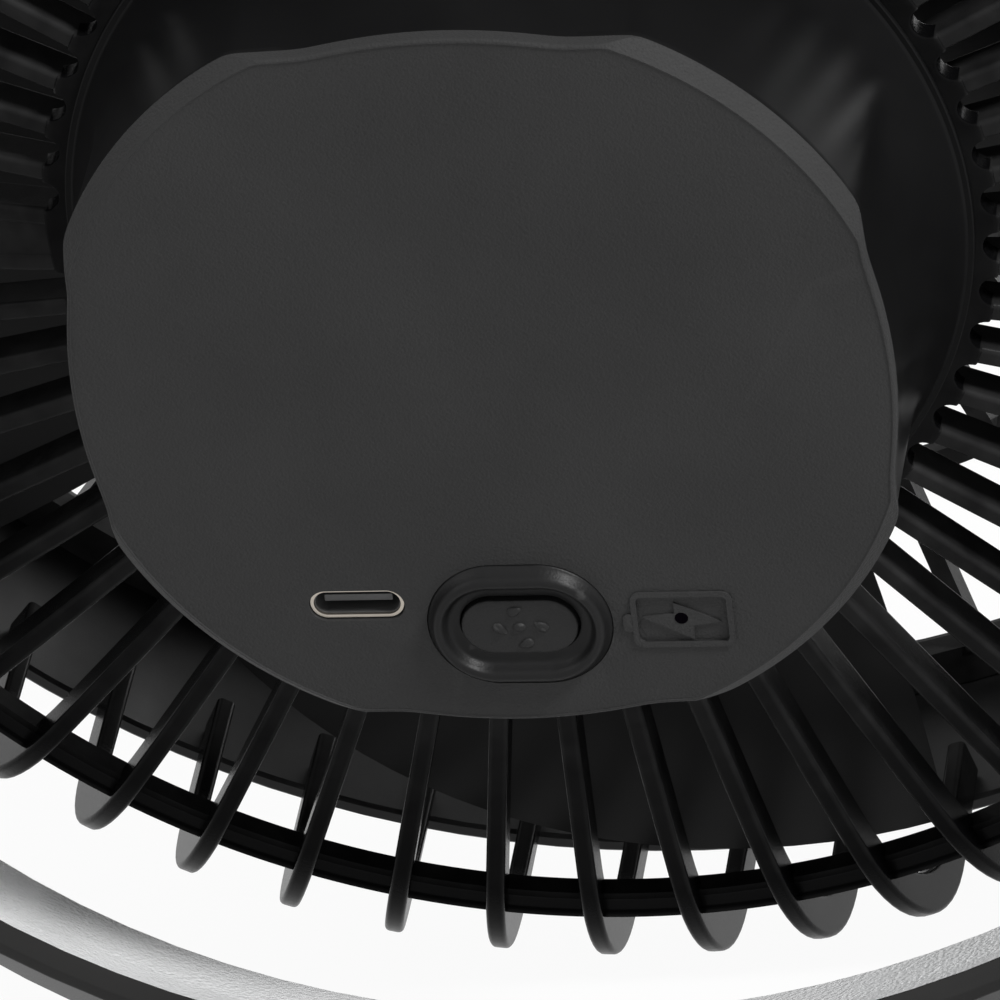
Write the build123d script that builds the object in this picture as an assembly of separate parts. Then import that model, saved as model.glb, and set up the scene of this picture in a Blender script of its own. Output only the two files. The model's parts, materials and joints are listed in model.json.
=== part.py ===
"""Portable camping fan: a round caged head on a swinging ring stand.

The head is modelled in its own frame first: the fan axis is Y, the rear cover faces +Y,
the air leaves towards -Y, and the ring's pivot line is the X axis through the origin.
`stand` then leans the finished head back and lifts it, so that the two lowest ribs of the
rear grille and the two feet of the ring stand on Z = 0.
"""
from build123d import *
from math import asin, atan2, cos, degrees, hypot, pi, radians, sin
import os

os.makedirs("parts", exist_ok=True)

# ---------------------------------------------------------------- driving dimensions, mm
# rear hub
cover_y = 87.0            # rear face of the cover, from the pivot line
cover_height = 3.2        # thickness of the cover plate at its rim
cover_arc_radius = 42.3   # outer edge of the four corner arcs
cover_flat_cut = 3.1      # the middle of each shaved side lies this far inside the arcs
cover_side_radius = 52.0  # bow of a shaved side
cover_notch_cut = 4.5     # the flats beside the bow lie this far inside the arcs
cover_notch_blend = 20.0  # hollow that joins the bow to its flats
cover_bevel = 2.1         # radial width of the bevel on the corner arcs
cover_spigot = 1.6        # depth of the locating spigot under the cover
hub_wall = 2.0
hub_flare = 1.1           # the drum's round foot stands this far outside the cover's arcs
hub_rim_reach = 0.8       # flange beyond the foot
hub_rim_height = 0.7
drum_inset = 0.3          # the drum's top lies this far inside the cover's outline
drum_fade = 4.0           # the foot's cone ends this far under the drum's top
hub_root_y = 58.0         # where the hub shell stands on the rear grille

# rear grille
rib_count = 56
rib_width = 2.0
rib_depth = 4.5
rib_slope = 10.0          # fall of the ribs from the hub outwards, degrees
rib_corner = 26.0         # radius of the rounded shoulder
rib_edge = 0.55           # rounding of the long rib edges
slot_margin = 0.8         # floor between the drum's flange and the rounded slot ends
floor_thickness = 2.6
hoop_inner = 88.8         # stiffening hoop that ties the ribs
hoop_outer = 92.2
hoop_drop = 2.6           # hoop lies this far under the rib backs
hoop_height = 3.0
rib_tuck = 4.0            # how far the rib ends reach inside the band

# front band and front grille
band_radius = 108.4
band_wall = 1.8
band_half = 13.4          # half of the band's width along the axis
lip_reach = 4.2           # inward reach of the front lip
lip_height = 1.8
latch_slots = (0, 9, 19, 28, 37, 47)   # gaps of the rear grille that a latch frame faces
latch_shift = 1.0
latch_width = 5.6
latch_depth = 1.1
latch_spans = ((-3.1, -0.7), (4.3, 9.9))   # stations of the two pockets of a latch
front_rib_count = 44
front_rib_width = 2.0
front_rib_depth = 3.2
front_bow = 5.0           # how far the front grille bows out at its centre
front_ring_width = 4.5
front_cap_radius = 27.0
front_hoop_radii = (54.0, 80.0)

# rotor
blade_count = 5
blade_tip = 96.5
blade_root_chord = 36.0
blade_tip_chord = 92.0
blade_root_pitch = 32.0   # degrees from the disc plane
blade_tip_pitch = 15.0
blade_camber = 0.06       # rise of a section's middle, as a share of its chord
blade_sweep = 10.0        # degrees from root to tip
blade_phase = 20.0
blade_thickness = 1.8
blade_mid_y = 19.0
impeller_hub = 27.0
impeller_wall = 2.0
impeller_rear = 45.0
impeller_front = 6.0
web_y = 31.0
web_thickness = 2.6

# motor
shaft_radius = 2.0
bearing_radius = 4.5
bearing_width = 3.5
rear_bearing_y = 48.0
front_bearing_y = 38.5
tube_wall = 1.1
mount_radius = 22.0
mount_thickness = 2.5
stator_radius = 15.5
stator_slots = 9
stator_rear = 49.0
stator_front = 40.0
magnet_gap = 0.4
magnet_thickness = 1.2
can_wall = 1.4
can_rear = 50.5

# battery and electronics
cell_radius = 9.2
cell_length = 65.0
cell_pitch = 19.0
cell_mid_z = 2.4
cell_mid_y = 71.8
pad_length = 50.0
pad_width = 30.0
board_y = 77.4
board_thickness = 1.2
board_top_z = -18.2

# control row on the cover, seen from behind: x to the right, z up
row_z = -26.75
row_shift = 0.3           # middle of the row, to the right of the fan axis
row_pitch = 15.6
row_turn = -1.4           # degrees
port_rise = 2.1           # the socket sits above the row's line
button_rise = -0.4        # and the button a little under it
button_length = 11.3
button_height = 6.1
button_proud = 0.4
button_depth = 5.6
button_travel = 0.8
dot_length = 1.5
dot_width = 1.0
dot_places = ((0, 0, 0), (-0.33, 1.86, 22), (0.45, -1.92, 20), (2.1, 0.1, -38), (-1.92, -0.17, -38))
seal_length = 17.8
seal_height = 13.6
seal_proud = 1.3
seal_top_length = 16.7
seal_top_height = 11.7
dish_length = 14.6
dish_height = 9.4
well_length = 18.0
well_height = 13.8
well_depth = 0.9
port_length = 9.1
port_height = 3.26
port_wall = 0.32
port_recess = 0.45
lamp_radius = 0.6
icon_shift = (0.13, -0.05)
icon_length = 9.8
icon_height = 6.3
icon_band = 0.55
icon_rise = 0.12
icon_cut = 0.2

# ring stand
ring_clear = 4.3          # air between the band and the front edge of the liner
ridge_rise = 4.2          # radial step from the liner's front edge to its ridge
liner_rise = 6.3          # radial step from the liner's front edge to its rear edge
ring_half = 7.0           # half of the ring's width along its own axis
ridge_offset = 1.2        # ridge of the liner, behind the ring's middle plane
ring_wall = 2.9
liner_thickness = 1.0
liner_lip = 0.5
stand_angle = 49.5        # swing of the ring out of the band's plane, bottom to the rear
rest_clear = 1.0          # air under the ring between its feet
ring_foot_angle = 15.0
foot_length = 16.0
foot_width = 9.0
foot_depth = 8.0          # most rubber under the hoop before the sole is cut flat

# pivots
pin_radius = 2.5
pin_head_radius = 3.8
pin_head_height = 1.5
boss_radius = 5.9
boss_height = 2.0         # the band's pivot boss stands this far off it
washer_thickness = 1.6
washer_radius = 5.6
pivot_fit = 0.04          # radial running clearance on the pin
cap_radius = 4.8
cap_height = 1.2

gap = 0.2                 # general moulding clearance
screw_radius = 1.25
screw_head_radius = 2.3
screw_head_height = 1.6
screw_length = 6.0
mount_screw_circle = 17.5
hub_boss_radius = 3.4
hub_boss_height = 8.0
hub_boss_bite = 0.8       # how far a boss grows into the drum's wall

# ---------------------------------------------------------------- sizes that follow
rib_pitch = 360.0 / rib_count
band_inner = band_radius - band_wall
rib_outer = band_inner - gap
front_seat_radius = band_inner - gap - front_ring_width
floor_front = hub_root_y - floor_thickness
mount_front = floor_front - mount_thickness
magnet_inner = stator_radius + magnet_gap
magnet_outer = magnet_inner + magnet_thickness
can_outer = magnet_outer + 0.05 + can_wall
tube_radius = bearing_radius + tube_wall
boss_face = band_radius + boss_height
ring_far_radius = band_radius + ring_clear          # front edge of the liner
ring_ridge_radius = ring_far_radius + ridge_rise
ring_near_radius = ring_far_radius + liner_rise     # where the dark hoop meets the liner
ring_outer = ring_near_radius + ring_wall
drum_top = cover_y - cover_height
cover_flat_half = cover_arc_radius - cover_flat_cut
cover_notch_half = cover_arc_radius - cover_notch_cut
hub_foot_radius = cover_arc_radius + hub_flare      # the drum's round foot, just above its flange
hub_rim_radius = hub_foot_radius + hub_rim_reach
slot_root = hub_rim_radius + slot_margin            # radius of the rounded slot ends
spigot_radius = cover_notch_half - drum_inset - hub_wall - gap
hub_screw_circle = cover_arc_radius - drum_inset - hub_wall - hub_boss_radius + hub_boss_bite
port_spot = (-row_pitch, port_rise)                 # places along and above the control row
button_spot = (0.0, button_rise)
mark_spot = (row_pitch, 0.0)

mount_screw_places = [(mount_screw_circle * cos(radians(45 + 90 * quarter)),
                       mount_screw_circle * sin(radians(45 + 90 * quarter))) for quarter in range(4)]
hub_screw_places = [(hub_screw_circle * cos(radians(45 + 90 * quarter)),
                     hub_screw_circle * sin(radians(45 + 90 * quarter))) for quarter in range(4)]
shoulder_x = rib_outer - rib_corner
shoulder_y = (hub_root_y - (shoulder_x - slot_root) * sin(radians(rib_slope)) / cos(radians(rib_slope))
              - rib_corner / cos(radians(rib_slope)))
sole_radius = ring_outer + rest_clear
foot_y = -ring_half * cos(radians(stand_angle)) + sole_radius * sin(radians(stand_angle))
foot_z = -ring_half * sin(radians(stand_angle)) - sole_radius * cos(radians(stand_angle))
cage_z = -shoulder_x * cos(radians(rib_pitch / 2))
reach = hypot(foot_y - shoulder_y, foot_z - cage_z)
lean = degrees(asin(rib_corner / reach) - atan2(cage_z - foot_z, foot_y - shoulder_y))
pivot_height = foot_y * sin(radians(lean)) - foot_z * cos(radians(lean))

stand = Location((0, 0, pivot_height)) * Location((0, 0, 0), (-lean, 0, 0))
swing = Location((0, 0, 0), (stand_angle, 0, 0))


pieces = {}
seam_turn = 40.0          # keeps the seam of every turned surface away from the pivot line


# ---------------------------------------------------------------- helpers
def turned(profile: list) -> Solid:
    """Turn a closed outline of (radius, y) corners about the fan axis."""
    face = make_face(Polyline(*profile, close=True))
    return Rot(0, seam_turn, 0) * revolve(face, Axis.Y, 360)


def tube(outer: float, inner: float, y0: float, y1: float) -> Solid:
    """Ring of rectangular section between two stations on the fan axis."""
    return turned([(inner, y0), (outer, y0), (outer, y1), (inner, y1)])


def disc(radius: float, y0: float, y1: float, x: float = 0.0, z: float = 0.0) -> Solid:
    """Round bar along the fan axis between two stations."""
    low, high = min(y0, y1), max(y0, y1)
    bar = Cylinder(radius, high - low, rotation=(90, 0, 0))
    return Pos(x, (low + high) / 2, z) * bar


def across(radius: float, x0: float, x1: float) -> Solid:
    """Round bar along the pivot line between two stations."""
    low, high = min(x0, x1), max(x0, x1)
    return Pos((low + high) / 2, 0, 0) * Cylinder(radius, high - low, rotation=(0, 90, 0))


def around(shape, angle: float):
    """Copy of a shape turned about the fan axis."""
    return Rot(0, angle, 0) * shape


def rear(y: float) -> Plane:
    """Sketch plane seen from behind: x to the right, y up, out of the cover."""
    return Plane(origin=(0, y, 0), x_dir=(-1, 0, 0), z_dir=(0, 1, 0))


def row(y: float, spot: tuple = button_spot) -> Plane:
    """Sketch plane at one of the control row's places, the button's unless another is given."""
    base = rear(y)
    return Plane(base.location * Pos(row_shift, row_z, 0) * Rot(0, 0, row_turn) * Pos(*spot, 0))


def keep(name: str, shape, local: Location = Location()) -> None:
    """Stand a finished piece where it belongs and hold it for writing."""
    pieces[name] = stand * local * shape


def edges_at(shape, y: float) -> list:
    """Edges that lie whole in the plane at a station on the fan axis."""
    found = []
    for edge in shape.edges():
        box = edge.bounding_box()
        if abs(box.min.Y - y) < 0.01 and abs(box.max.Y - y) < 0.01:
            found.append(edge)
    return found


# ---------------------------------------------------------------- rear cover
def cover_outline():
    """Round outline with four bowed sides, each between two hollow shoulders."""
    outline = Circle(cover_arc_radius)
    for quarter in range(4):
        side = Pos(cover_flat_half - cover_side_radius, 0) * Circle(cover_side_radius)
        side += Pos(cover_notch_half - cover_arc_radius, 0) * Rectangle(2 * cover_arc_radius, 3 * cover_arc_radius)
        outline = outline & (Rot(0, 0, 90 * quarter) * side)
    hollows = [v for v in outline.vertices() if hypot(v.X, v.Y) < (cover_notch_half + cover_arc_radius) / 2]
    outline = fillet(hollows, cover_notch_blend)
    corners = [v for v in outline.vertices() if hypot(v.X, v.Y) > cover_arc_radius - 0.05]
    outline = fillet(corners, 1.6)
    return outline


def make_cover():
    """Cover plate with four bevelled corner arcs, its openings and the engraved charge mark."""
    plate = extrude(rear(drum_top) * cover_outline(), cover_height)
    bevelled = turned([
        (0, cover_y - cover_height), (cover_arc_radius + gap, cover_y - cover_height),
        (cover_arc_radius, cover_y - cover_height + 0.4), (cover_arc_radius - cover_bevel, cover_y - 0.25),
        (cover_arc_radius - cover_bevel - 0.8, cover_y), (0, cover_y)])
    cover = plate & bevelled
    cover += tube(spigot_radius, spigot_radius - 1.6, drum_top - cover_spigot, drum_top + 0.1)
    cover -= disc(spigot_radius - 0.8, drum_top - 0.01, cover_y - 2.0)
    well_block = row(cover_y - cover_height) * SlotOverall(well_length + 3.0, well_height + 3.0)
    cover += extrude(well_block, cover_height - 1.0)
    port_block = row(cover_y - cover_height, port_spot) * SlotOverall(port_length + 3.0, port_height + 3.0)
    cover += extrude(port_block, cover_height - 1.0)
    well = row(cover_y) * SlotOverall(well_length, well_height)
    cover -= extrude(well, -well_depth)
    hole = row(cover_y) * SlotOverall(button_length + 2 * gap, button_height + 2 * gap)
    cover -= extrude(hole, -(cover_height + cover_spigot))
    port = row(cover_y, port_spot) * SlotOverall(port_length + 0.3, port_height + 0.3)
    cover -= extrude(port, -(cover_height + cover_spigot))
    lamp = row(cover_y, mark_spot) * Circle(lamp_radius + 0.05)
    cover -= extrude(lamp, -(cover_height + cover_spigot))
    frame, well = charge_mark()
    cover += extrude(row(cover_y, mark_spot) * frame, icon_rise)
    return cover - extrude(row(cover_y, mark_spot) * well, -icon_cut)


def charge_mark() -> tuple:
    """Plain battery outline that stands proud, and the sunk field round its bolt."""
    x, z = icon_shift
    inner = Pos(x, z) * RectangleRounded(icon_length - 2 * icon_band, icon_height - 2 * icon_band, 0.5)
    frame = Pos(x, z) * RectangleRounded(icon_length, icon_height, 0.95) - inner
    frame += Pos(x - icon_length / 2 - 0.35, z - 0.3) * RectangleRounded(1.1, 2.2, 0.35)
    frame -= inner
    bolt = make_face(Polyline((-3.78, 0.16), (-0.67, 0.52), (-0.63, 1.78), (3.79, -0.49), (1.16, -0.87),
                              (1.05, -2.45), close=True))
    return frame, inner - bolt


# ---------------------------------------------------------------- hub shell
def drum(inset: float, low: float, high: float) -> Solid:
    """Prism inside the cover's outline, drawn in by `inset`, between two stations."""
    face = offset(cover_outline(), -inset)
    return extrude(rear(low) * face, high - low)


def make_hub_shell():
    """Gloss drum that runs from the cover's outline down to a round, flanged foot."""
    foot = hub_root_y + hub_rim_height
    shell = drum(drum_inset, hub_root_y, drum_top)
    shell += turned([
        (0, hub_root_y), (hub_rim_radius, hub_root_y), (hub_rim_radius, foot), (hub_foot_radius, foot),
        (cover_notch_half - drum_inset - 0.6, drum_top - drum_fade), (0, drum_top - drum_fade)])
    shell -= drum(drum_inset + hub_wall, hub_root_y - 1, drum_top + 1)
    for x, z in hub_screw_places:
        shell += disc(hub_boss_radius, hub_root_y, hub_root_y + hub_boss_height, x=x, z=z)
        shell -= disc(screw_radius + 0.05, hub_root_y - 1, hub_root_y + screw_length, x=x, z=z)
    return shell


# ---------------------------------------------------------------- rear grille
def make_rib():
    """One rib, its back falling outwards, turning over the shoulder and running forward."""
    slope = radians(rib_slope)
    start_x = hub_rim_radius + gap

    def ring_point(radius: float, angle: float) -> tuple:
        return (shoulder_x + radius * cos(angle), shoulder_y + radius * sin(angle))

    crown = pi / 2 - slope
    middle = crown / 2
    inner = rib_corner - rib_depth
    end_y = band_half - rib_tuck
    tip_round = rib_depth / 2 - 0.25
    back = hub_root_y + (slot_root - start_x) * sin(slope) / cos(slope)
    outer_line = Line((start_x, back), ring_point(rib_corner, crown))
    outer_arc = ThreePointArc(ring_point(rib_corner, crown), ring_point(rib_corner, middle), ring_point(rib_corner, 0))
    outer_run = Line(ring_point(rib_corner, 0), (rib_outer, end_y))
    tip = Line((rib_outer, end_y), (rib_outer - rib_depth, end_y))
    inner_run = Line((rib_outer - rib_depth, end_y), ring_point(inner, 0))
    inner_arc = ThreePointArc(ring_point(inner, 0), ring_point(inner, middle), ring_point(inner, crown))
    inner_line = Line(ring_point(inner, crown), (start_x, back - rib_depth / cos(slope)))
    closing = Line((start_x, back - rib_depth / cos(slope)), (start_x, back))
    face = make_face([outer_line, outer_arc, outer_run, tip, inner_run, inner_arc, inner_line, closing])
    corners = [v for v in face.vertices() if abs(v.Y - end_y) < 0.01]
    face = fillet(corners, tip_round)
    rib = extrude(face, rib_width / 2, both=True)
    backs = [e for e in rib.edges().filter_by(GeomType.CIRCLE) if abs(e.radius - rib_corner) < 0.01]
    lines = [e for e in rib.edges().filter_by(GeomType.LINE)
             if e.length > 30 and e.center().Y > shoulder_y + rib_corner]
    return fillet(backs + lines, rib_edge)


def make_rear_grille():
    """Floor plate, ribs, tying hoop and the solid spoke that carries the wires."""
    rib = make_rib()
    ribs = [around(rib, rib_pitch * (index + 0.5)) for index in range(rib_count)]
    slot_radius = (2 * pi * (slot_root + 1.5) / rib_count - rib_width) / 2
    plate = disc(slot_root + slot_radius, floor_front, hub_root_y)
    cutter = disc(slot_radius, floor_front - 1, hub_root_y + 1, x=slot_root + slot_radius)
    cutters = [around(cutter, rib_pitch * index) for index in range(1, rib_count)]
    plate = plate - cutters
    plate = plate - disc(5.0, floor_front - 1, hub_root_y + 1, z=-27.0)
    slope = sin(radians(rib_slope)) / cos(radians(rib_slope))
    hoop_back = hub_root_y - (hoop_outer - slot_root) * slope - hoop_drop
    hoop = turned([
        (hoop_inner, hoop_back - hoop_height + 0.4), (hoop_outer, hoop_back - hoop_height),
        (hoop_outer, hoop_back - 0.7), (hoop_outer - 0.9, hoop_back), (hoop_inner, hoop_back + 0.3)])
    spoke_half = 2 * pi * (slot_root + 6) / rib_count / 2
    spoke_face = make_face(Polyline(
        (slot_root - 1, hub_root_y - 0.3), (hoop_inner + 1, hub_root_y - 0.3 - (hoop_inner + 2 - slot_root) * slope),
        (hoop_inner + 1, hub_root_y - 2.3 - (hoop_inner + 2 - slot_root) * slope), (slot_root - 1, hub_root_y - 2.3),
        close=True))
    spoke = extrude(spoke_face, spoke_half + 0.6, both=True)
    grille = plate.fuse(*ribs, hoop, spoke)
    for x, z in mount_screw_places + hub_screw_places:
        grille -= disc(screw_radius + 0.05, floor_front - 1, hub_root_y + 1, x=x, z=z)
    return grille


# ---------------------------------------------------------------- band and front grille
def make_band():
    """Outer band with its front lip, the two pivot bosses and the latches for the rear grille."""
    lip_inner = band_inner - lip_reach
    shell = turned([
        (band_inner, -band_half + lip_height), (lip_inner, -band_half + lip_height), (lip_inner, -band_half + 0.5),
        (lip_inner + 0.5, -band_half), (band_radius - 1.2, -band_half), (band_radius, -band_half + 1.2),
        (band_radius, band_half - 0.4), (band_radius - 0.4, band_half), (band_inner + 0.4, band_half),
        (band_inner, band_half - 0.4)])
    for side in (-1, 1):
        shell += across(boss_radius, side * (band_inner - 0.6), side * boss_face)
        shell -= across(pin_radius, side * (band_inner - 5), side * (boss_face + 1))
        shell -= across(pin_head_radius + 0.05, side * (band_inner - 5), side * (band_inner - 0.6 + pin_head_height))
    for low, high in latch_spans:
        pocket = Pos(latch_shift, (low + high) / 2, -band_inner) * Box(latch_width, high - low, 2 * latch_depth)
        for slot in latch_slots:
            shell -= around(pocket, rib_pitch * slot)
    return shell


def front_back(radius: float) -> float:
    """Station of the front grille's inner face at a radius."""
    seat = -band_half + lip_height
    return seat - front_bow * (1 - (radius / front_seat_radius) ** 2)


def make_front_grille():
    """Seat ring, bowed ribs and two hoops of the front grille."""
    seat = -band_half + lip_height
    ring_out = band_inner - gap
    ring_in = front_seat_radius
    ring = tube(ring_out, ring_in, seat, seat + 3.0)
    start = front_cap_radius - 3.0
    mid = (start + ring_in + 0.6) / 2

    def back_point(radius: float, lift: float = 0.0) -> tuple:
        return (radius, front_back(radius) + lift)

    end = ring_in + 0.6
    face = make_face([
        ThreePointArc(back_point(start), back_point(mid), back_point(end)),
        Line(back_point(end), back_point(end, front_rib_depth)),
        ThreePointArc(back_point(end, front_rib_depth), back_point(mid, front_rib_depth),
                      back_point(start, front_rib_depth)),
        Line(back_point(start, front_rib_depth), back_point(start))])
    rib = extrude(face, front_rib_width / 2, both=True)
    ribs = [around(rib, 360.0 / front_rib_count * index) for index in range(front_rib_count)]
    hoops = [tube(radius + 1.2, radius - 1.2, front_back(radius) + 0.8, front_back(radius) + 3.0)
             for radius in front_hoop_radii]
    hub = tube(front_cap_radius, start - 4.0, front_back(start) + 0.6, front_back(start) + 3.2)
    return ring.fuse(*ribs, *hoops, hub)


def make_front_cap():
    """Plain domed cap in the middle of the front grille."""
    base = front_back(front_cap_radius - 3.0) - 0.05
    dome = Pos(0, base - 2.6, 0) * Cylinder(front_cap_radius - 0.4, 5.2, rotation=(90, 0, 0))
    edge = dome.edges().filter_by(GeomType.CIRCLE).sort_by(Axis.Y)[0]
    dome = fillet(edge, 3.2)
    dome -= disc(front_cap_radius - 2.6, base - 3.4, base + 0.1)
    spigot = tube(front_cap_radius - 7.0 - gap, front_cap_radius - 8.6, base - 3.6, base + 2.0)
    return dome + spigot


# ---------------------------------------------------------------- rotor
def blade_section(radius: float, chord: float, pitch: float) -> Face:
    """Thin cambered section across a blade at one radius."""
    half = chord / 2
    camber = -chord * blade_camber
    t = blade_thickness / 2
    upper = ThreePointArc((-half, 0), (0, camber + t), (half, 0))
    lower = ThreePointArc((half, 0), (0, camber - t), (-half, 0))
    face = make_face([upper, lower])
    plane = Plane(origin=(radius, blade_mid_y, 0), x_dir=(0, -sin(radians(pitch)), cos(radians(pitch))),
                  z_dir=(1, 0, 0))
    return plane * face


def make_impeller():
    """Hub cup with its web and the swept blades."""
    cup = tube(impeller_hub, impeller_hub - impeller_wall, impeller_front, impeller_rear)
    web = tube(impeller_hub - 1.0, shaft_radius, web_y, web_y + web_thickness)
    sleeve = tube(5.0, shaft_radius, web_y - 3.0, web_y + web_thickness)
    stations = 4
    sections = []
    for index in range(stations):
        share = index / (stations - 1)
        radius = impeller_hub - 1.0 + share * (blade_tip - impeller_hub + 1.0)
        chord = blade_root_chord + share * (blade_tip_chord - blade_root_chord)
        pitch = blade_root_pitch + share * (blade_tip_pitch - blade_root_pitch)
        sections.append(Rot(0, blade_phase - blade_sweep * share, 0) * blade_section(radius, chord, pitch))
    blade = loft(sections)
    blade &= tube(blade_tip, impeller_hub - 1.0, impeller_front - 20, impeller_rear)
    blades = [around(blade, 360.0 / blade_count * index) for index in range(blade_count)]
    return cup.fuse(web, sleeve, *blades)


def make_stator():
    """Laminated stator with its teeth."""
    ring = tube(stator_radius * 0.55, tube_radius + 0.05, stator_front, stator_rear)
    middle = (stator_front + stator_rear) / 2
    height = stator_rear - stator_front
    tooth = Pos(stator_radius * 0.72, middle, 0) * Box(stator_radius * 0.42, height, 2.4)
    shoe = tube(stator_radius, stator_radius - 1.6, stator_front, stator_rear)
    width = 2 * pi * stator_radius / stator_slots - 1.6
    shoe = shoe & (Pos(stator_radius, middle, 0) * Box(6, height, width))
    teeth = [around(tooth + shoe, 360.0 / stator_slots * index) for index in range(stator_slots)]
    return ring.fuse(*teeth)


def make_coils():
    """Windings on the stator teeth, one solid each."""
    middle = (stator_front + stator_rear) / 2
    height = stator_rear - stator_front + 1.8
    inner = stator_radius * 0.55 + 0.15
    outer = stator_radius - 2.0
    width = 4.2
    coil = Pos((inner + outer) / 2, middle, 0) * (Box(outer - inner, height, width)
                                                  - Box(outer - inner + 1, height - 1.7, 2.5))
    limit = tube(stator_radius, stator_radius * 0.55 + 0.1, stator_front - 2, stator_rear + 2)
    coil = coil & limit
    return Compound(children=[around(coil, 360.0 / stator_slots * index).solids()[0] for index in range(stator_slots)])


# ---------------------------------------------------------------- ring stand
def liner_profile() -> list:
    """Visible face of the liner from the rear edge to the front edge."""
    return [(ring_near_radius, ring_half - liner_lip), (ring_ridge_radius, ridge_offset),
            (ring_far_radius, -ring_half + liner_lip)]


def make_ring_hoop():
    """Dark hoop with a rebate for the liner and the two pivot bosses."""
    inner = liner_profile()
    backed = [(radius + liner_thickness, y) for radius, y in inner]
    hoop = turned([
        (ring_near_radius, ring_half), (ring_outer - 0.8, ring_half), (ring_outer, ring_half - 0.8),
        (ring_outer, -ring_half + 0.8), (ring_outer - 0.8, -ring_half), (ring_far_radius, -ring_half),
        inner[2], backed[2], backed[1], backed[0], inner[0]])
    for side in (-1, 1):
        hoop += across(boss_radius, side * (boss_face + washer_thickness + gap), side * (ring_outer - 1.0))
        hoop -= across(pin_radius + pivot_fit, side * (boss_face - 2), side * (ring_outer + 5))
        hoop -= across(cap_radius + 0.05, side * (ring_outer - cap_height), side * (ring_outer + 5))
    return hoop


def make_ring_liner():
    """Bright two-facet liner seated in the hoop's rebate."""
    inner = liner_profile()
    backed = [(radius + liner_thickness, y) for radius, y in inner]
    liner = turned([inner[0], inner[1], inner[2], backed[2], backed[1], backed[0]])
    for side in (-1, 1):
        liner -= across(boss_radius + 0.05, side * (boss_face - 5), side * (ring_outer + 5))
    return liner


def floor_cut() -> Solid:
    """Everything below the surface that the fan stands on, in the head's frame."""
    slab = Pos(0, 0, -ring_outer) * Box(6 * ring_outer, 6 * ring_outer, 2 * ring_outer)
    return stand.inverse() * slab


def make_ring_feet():
    """Two rubber feet under the ring, with flat soles on the ground."""
    band = tube(ring_outer + 1.5 * foot_depth, ring_outer, -ring_half + 0.6, -ring_half + 0.6 + foot_width)
    feet = []
    for side in (-1, 1):
        place = Rot(0, side * ring_foot_angle, 0) * Pos(0, 0, -ring_outer)
        block = place * Box(foot_length, 4 * foot_width, 2 * foot_depth)
        foot = swing * (band & block)
        feet.append((foot - floor_cut()).solids()[0])
    return Compound(children=feet)


# ---------------------------------------------------------------- battery and electronics
def make_tray():
    """Cradle for the two cells, standing on the grille floor."""
    top = cell_mid_y - 3.0
    tray = drum(drum_inset + hub_wall + gap, hub_root_y, top)
    for sign in (-1, 1):
        spot = (0, cell_mid_y, cell_mid_z + sign * cell_pitch / 2)
        tray -= Pos(*spot) * Cylinder(cell_radius + 0.1, cell_length + 0.4, rotation=(0, 90, 0))
    for x, z in hub_screw_places:
        tray -= disc(hub_boss_radius + gap, hub_root_y - 1, top + 1, x=x, z=z)
    for x, z in mount_screw_places:
        tray -= disc(screw_radius + 0.3, hub_root_y - 1, hub_root_y + screw_length, x=x, z=z)
    return tray - disc(6.0, hub_root_y - 1, top + 1, z=-27.0)


def make_cells():
    """Two round cells lying side by side."""
    cells = []
    for sign in (-1, 1):
        spot = (0, cell_mid_y, cell_mid_z + sign * cell_pitch / 2)
        cell = Cylinder(cell_radius, cell_length - 1.0, rotation=(0, 90, 0))
        cell += Pos(cell_length / 2 - 0.25, 0, 0) * Cylinder(3.2, 0.6, rotation=(0, 90, 0))
        cells.append((Pos(*spot) * cell).solids()[0])
    return Compound(children=cells)


def make_pad():
    """Foam pad that holds the cells down under the cover."""
    low = cell_mid_y + cell_radius + 0.05
    high = cover_y - cover_height - cover_spigot - 0.1
    pad = Pos(0, (low + high) / 2, cell_mid_z) * Box(pad_length, high - low, pad_width)
    return pad


def make_board():
    """Control board behind the control row, cut to the hub's round."""
    board = drum(drum_inset + hub_wall + 1.0, board_y - board_thickness, board_y)
    upper = Pos(0, board_y, board_top_z + hub_rim_radius) * Box(3 * hub_rim_radius, 10, 2 * hub_rim_radius)
    return (board - upper).solids()[0]


def make_board_posts():
    """Two posts that carry the board on the tray."""
    top = cell_mid_y - 3.0
    posts = [disc(2.4, top, board_y - board_thickness, x=side * 24.0, z=-23.0) for side in (-1, 1)]
    return Compound(children=posts)


def make_usb_shell():
    """Metal shell of the charging socket."""
    length = cover_y - port_recess - board_y
    outer = row(board_y, port_spot) * SlotOverall(port_length, port_height)
    inner = row(board_y + 1.0, port_spot) * SlotOverall(port_length - 2 * port_wall, port_height - 2 * port_wall)
    return extrude(outer, length) - extrude(inner, length)


def make_usb_tongue():
    """Contact tongue standing in the socket's shell."""
    sketch = row(board_y + 1.0, port_spot) * Rectangle(6.6, 0.7)
    return extrude(sketch, cover_y - port_recess - board_y - 2.0)


def make_button():
    """Button with its stem flange and five raised dots."""
    top = cover_y + button_proud
    body = extrude(row(top - button_depth) * SlotOverall(button_length, button_height), button_depth)
    body = fillet(edges_at(body, top), 0.7)
    flange = extrude(row(top - button_depth) * SlotOverall(button_length + 2.4, button_height + 2.4), 0.9)
    body += flange
    for x, z, turn in dot_places:
        dot = Pos(x, z) * Rot(0, 0, turn) * Ellipse(dot_length / 2, dot_width / 2)
        body += extrude(row(top - 0.2) * dot, 0.42)
    return body


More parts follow.
